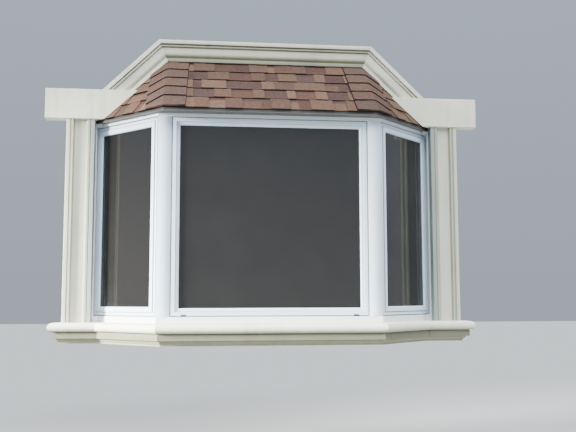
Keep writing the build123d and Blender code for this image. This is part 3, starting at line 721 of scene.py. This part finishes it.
for hand, seed in (("right", 5), ("left", 11)):
    turn = Vector if hand == "right" else mirrored
    chance = random.Random(seed)
    way = turn(hip_way)
    faces_out = (turn(front_normal), turn(side_normal))
    legs = []
    for normal, toward in zip(faces_out, (turn(-right_way), turn(right_way))):
        leg = way.cross(normal).normalized()
        legs.append(leg if leg.dot(toward) > 0 else -leg)
    bm = bmesh.new()
    tones = bm.loops.layers.float_color.new("tone")
    starts = [-0.003] + [height / hip_way.z for height in butts[1:6]]
    limit = (eave_out - head_out - 0.002) / abs(hip_way.y)
    for index, begin in enumerate(starts):
        if begin > limit - 0.010:
            break
        stop = min(starts[index + 1] + 0.006 if index + 1 < len(starts) else limit, limit)
        colour = chance.choice(cap_tones)
        skew = chance.uniform(-0.002, 0.002)
        butt_ring = cap_ring(turn(corner), way, legs, faces_out, begin, skew, cap_butt)
        head_ring = cap_ring(turn(corner), way, legs, faces_out, stop, skew, cap_head)
        wedge(bm, tones, butt_ring, head_ring, colour)
        # Painted shadow: a near-black strip along the cap's front edge.
        shade = []
        for run in (begin, stop):
            edge = turn(corner) + way * run + legs[0] * cap_reach
            out = [(0.0, 0.0014), (0.0028, 0.0014), (0.0028, -0.0030), (0.0, -0.0030)]
            shade.append([edge + legs[0] * step + faces_out[0] * level for step, level in out])
        wedge(bm, tones, shade[0], shade[1], edge_and_shade_tone)
    cut(bm, -wall_way * (eave_out + 0.0018), -wall_way)
    cut(bm, turn(right_way * (eave_line + 0.0024)), turn(Vector((1.0, -1.0, 0.0)).normalized()))
    piece = finish_piece("folded_caps_" + hand, bm, shingle, "hip_cap_" + hand)

# Foam trims: the crown, belt blocks, pilasters and sill are foam under a cream acrylic coat with
# fine sand in it, trowelled smooth; rain has streaked it. Painted shade darkens the crown's foot and
# quirks, the sill's fascias and the pilasters' ribs and grooves under the belt, and a painted highlight
# lightens the top of the sill's nose.
paint = Paint("coated_trim")
spot = paint.place()
clouds = paint.grain(spot, 2.3, 5.0, 0.55)
streaks = paint.grain(spot, 1.0, 4.0, 0.6, (15.0, 15.0, 1.0))
sand = paint.grain(spot, 520.0, 2.0, 0.6)
trowel = paint.grain(spot, 38.0, 3.0, 0.5)
height = spot.part("Z")
aside = abs(spot.part("X"))
belt_foot = 1.497
belt_top = 1.7166
sill_top = 0.0385
sill_foot = -0.1075
crown_turn = 0.732
pilaster_inner = 1.2471
outdoors = spot.part("Y").below(-0.002)
between_sill_and_belt = height.below(belt_foot) * height.over(sill_top) * outdoors
over_head = height - head_height
sideways = (aside - crown_turn) * 0.697 + over_head * 0.717
rise = over_head.math("MAXIMUM", sideways)
on_rake = (sideways - over_head).over(0.0)
# Painted shade on the crown, by height above its foot: darker at the base bead, the neck, under the ovolo and
# in the two quirks.
crown_painted_shade = paint.ramp(
    rise * 6.25,
    (0.0, (0.26, 0.26, 0.218)), (0.185, (0.42, 0.42, 0.355)), (0.195, (0.22, 0.22, 0.18)),
    (0.25, (0.40, 0.40, 0.34)), (0.33, (0.66, 0.66, 0.60)), (0.46, (0.88, 0.88, 0.86)),
    (0.60, (0.84, 0.84, 0.80)), (0.645, (0.50, 0.50, 0.43)), (0.70, (0.56, 0.56, 0.50)),
    (0.72, (0.74, 0.75, 0.70)), (0.765, (0.72, 0.73, 0.68)), (0.78, (0.50, 0.50, 0.43)),
    (0.815, (0.56, 0.56, 0.50)), (0.835, (0.70, 0.73, 0.70)), (0.95, (1.0, 1.0, 0.98)),
)
# Painted shade and highlight on the sill, by height: its fascias under the nose are darker, the top of the
# nose is lighter.
sill_painted_shade_and_highlight = paint.ramp(
    (height - sill_foot) * 6.85,
    (0.0, (0.36, 0.36, 0.295)), (0.24, (0.41, 0.41, 0.335)), (0.265, (0.24, 0.24, 0.19)),
    (0.31, (0.22, 0.22, 0.180)), (0.48, (0.24, 0.24, 0.200)), (0.53, (0.22, 0.22, 0.18)),
    (0.575, (0.50, 0.50, 0.44)), (0.68, (0.94, 0.94, 0.90)), (0.80, (1.08, 1.09, 1.11)),
)
# Painted shade on the pilasters, across their width: the ribs and grooves are darker and bluish, the inner
# rib most.
pilaster_painted_shade = paint.ramp(
    (aside - pilaster_inner) * 5.0,
    (0.0, (0.34, 0.40, 0.47)), (0.13, (0.39, 0.44, 0.49)), (0.15, (0.27, 0.29, 0.30)),
    (0.17, (0.44, 0.48, 0.49)), (0.235, (0.46, 0.49, 0.49)), (0.27, (0.40, 0.41, 0.38)),
    (0.31, (0.79, 0.79, 0.78)), (0.69, (0.79, 0.80, 0.78)), (0.73, (0.38, 0.39, 0.35)),
    (0.77, (0.64, 0.65, 0.61)), (0.84, (0.34, 0.35, 0.31)), (0.87, (0.58, 0.60, 0.55)),
    (0.97, (0.84, 0.84, 0.80)),
)
cream = paint.ramp(
    (clouds * 0.55 + streaks * 0.45).clamp(), (0.32, (0.583, 0.572, 0.457)), (0.50, (0.725, 0.720, 0.583)),
    (0.68, (0.780, 0.770, 0.635)),
)
coat = cream
# The painted shade and highlight go on the outer faces only; on the crown's rakes little of it is used.
for where, painted_light_and_shade in (
    (height.over(belt_top) * outdoors * (1.0 - on_rake * 0.95), crown_painted_shade),
    (height.below(sill_top) * outdoors, sill_painted_shade_and_highlight),
    (between_sill_and_belt, pilaster_painted_shade),
):
    coat = paint.blend(where, coat, paint.blend(1.0, cream, painted_light_and_shade, "MULTIPLY"))
coated = paint.finish(
    colour=paint.blend(sand * 0.20, coat, (0.42, 0.41, 0.34)), rough=sand * 0.12 + 0.74, specular=0.25,
    normal=paint.bump(sand * 0.6 + trowel * 0.9, 0.0011, 0.7),
)
trims = [name for stem in ("pilaster", "belt_block", "crown_rake", "sill") for name in pair(stem)]
dress(coated, *trims, "crown_top", "sill_front")

# Reveal trims: cream vinyl covers between the casements' outer ends and the pilasters, their cream drawn as a
# bluish grey that is painted shade.
paint = Paint("reveal_vinyl")
spot = paint.place()
dust = paint.grain(spot, 40.0, 4.0, 0.6)
# Painted shade: bluish grey in place of the covers' cream.
cover_and_painted_shade = paint.blend(dust * 0.25, (0.66, 0.70, 0.735), (0.44, 0.45, 0.46))
reveal_vinyl = paint.finish(
    colour=cover_and_painted_shade, rough=dust * 0.15 + 0.4, normal=paint.bump(dust, 0.0003, 0.4)
)
dress(reveal_vinyl, *pair("reveal_trim"))

# Floor and light: a plain pale floor well below the sill, a wide soft light high in front, a large
# soft light from the left, and a pale sky that deepens a little towards its top.
floor_mesh = bpy.data.meshes.new("floor")
floor_bm = bmesh.new()
floor_place = Matrix.Translation((0.0, 0.0, -0.9))
bmesh.ops.create_grid(floor_bm, x_segments=2, y_segments=2, size=30.0, matrix=floor_place)
floor_bm.to_mesh(floor_mesh)
floor_bm.free()
floor = bpy.data.objects.new("floor", floor_mesh)
bpy.context.scene.collection.objects.link(floor)
floor_mesh.materials.append(Paint("pale_floor").finish(colour=(0.35, 0.35, 0.342), rough=0.85, specular=0.2))

high_aim = Vector((-0.06, 0.46, -0.89))
high_data = bpy.data.lights.new("high_light", "SUN")
high_data.energy = 8.3
high_data.angle = math.radians(60.0)
high_data.color = (0.915, 0.955, 1.0)
high_light = bpy.data.objects.new("high_light", high_data)
high_light.rotation_euler = high_aim.to_track_quat("-Z", "Y").to_euler()
bpy.context.scene.collection.objects.link(high_light)
left_data = bpy.data.lights.new("left_light", "AREA")
left_data.shape = "RECTANGLE"
left_data.size = 2.0
left_data.size_y = 1.8
left_data.energy = 225.0
left_data.color = (1.0, 0.985, 0.94)
left_data.spread = math.radians(26.0)
left_light = bpy.data.objects.new("left_light", left_data)
left_light.location = (-8.1, -2.3, 2.1)
left_aim = Vector((-1.0, -0.3, 0.05)) - left_light.location
left_light.rotation_euler = left_aim.to_track_quat("-Z", "Y").to_euler()
left_light.visible_glossy = False
bpy.context.scene.collection.objects.link(left_light)
world = bpy.data.worlds.new("studio")
world.use_nodes = True
sky = world.node_tree
direction = sky.nodes.new("ShaderNodeTexCoord")
split = sky.nodes.new("ShaderNodeSeparateXYZ")
fade = sky.nodes.new("ShaderNodeValToRGB")
fade.color_ramp.elements[0].position = 0.0
fade.color_ramp.elements[0].color = (0.40, 0.45, 0.52, 1.0)
fade.color_ramp.elements[1].position = 0.9
fade.color_ramp.elements[1].color = (0.56, 0.66, 0.80, 1.0)
sky.links.new(direction.outputs["Generated"], split.inputs["Vector"])
sky.links.new(split.outputs["Z"], fade.inputs["Fac"])
sky.links.new(fade.outputs["Color"], sky.nodes["Background"].inputs["Color"])
bpy.context.scene.world = world
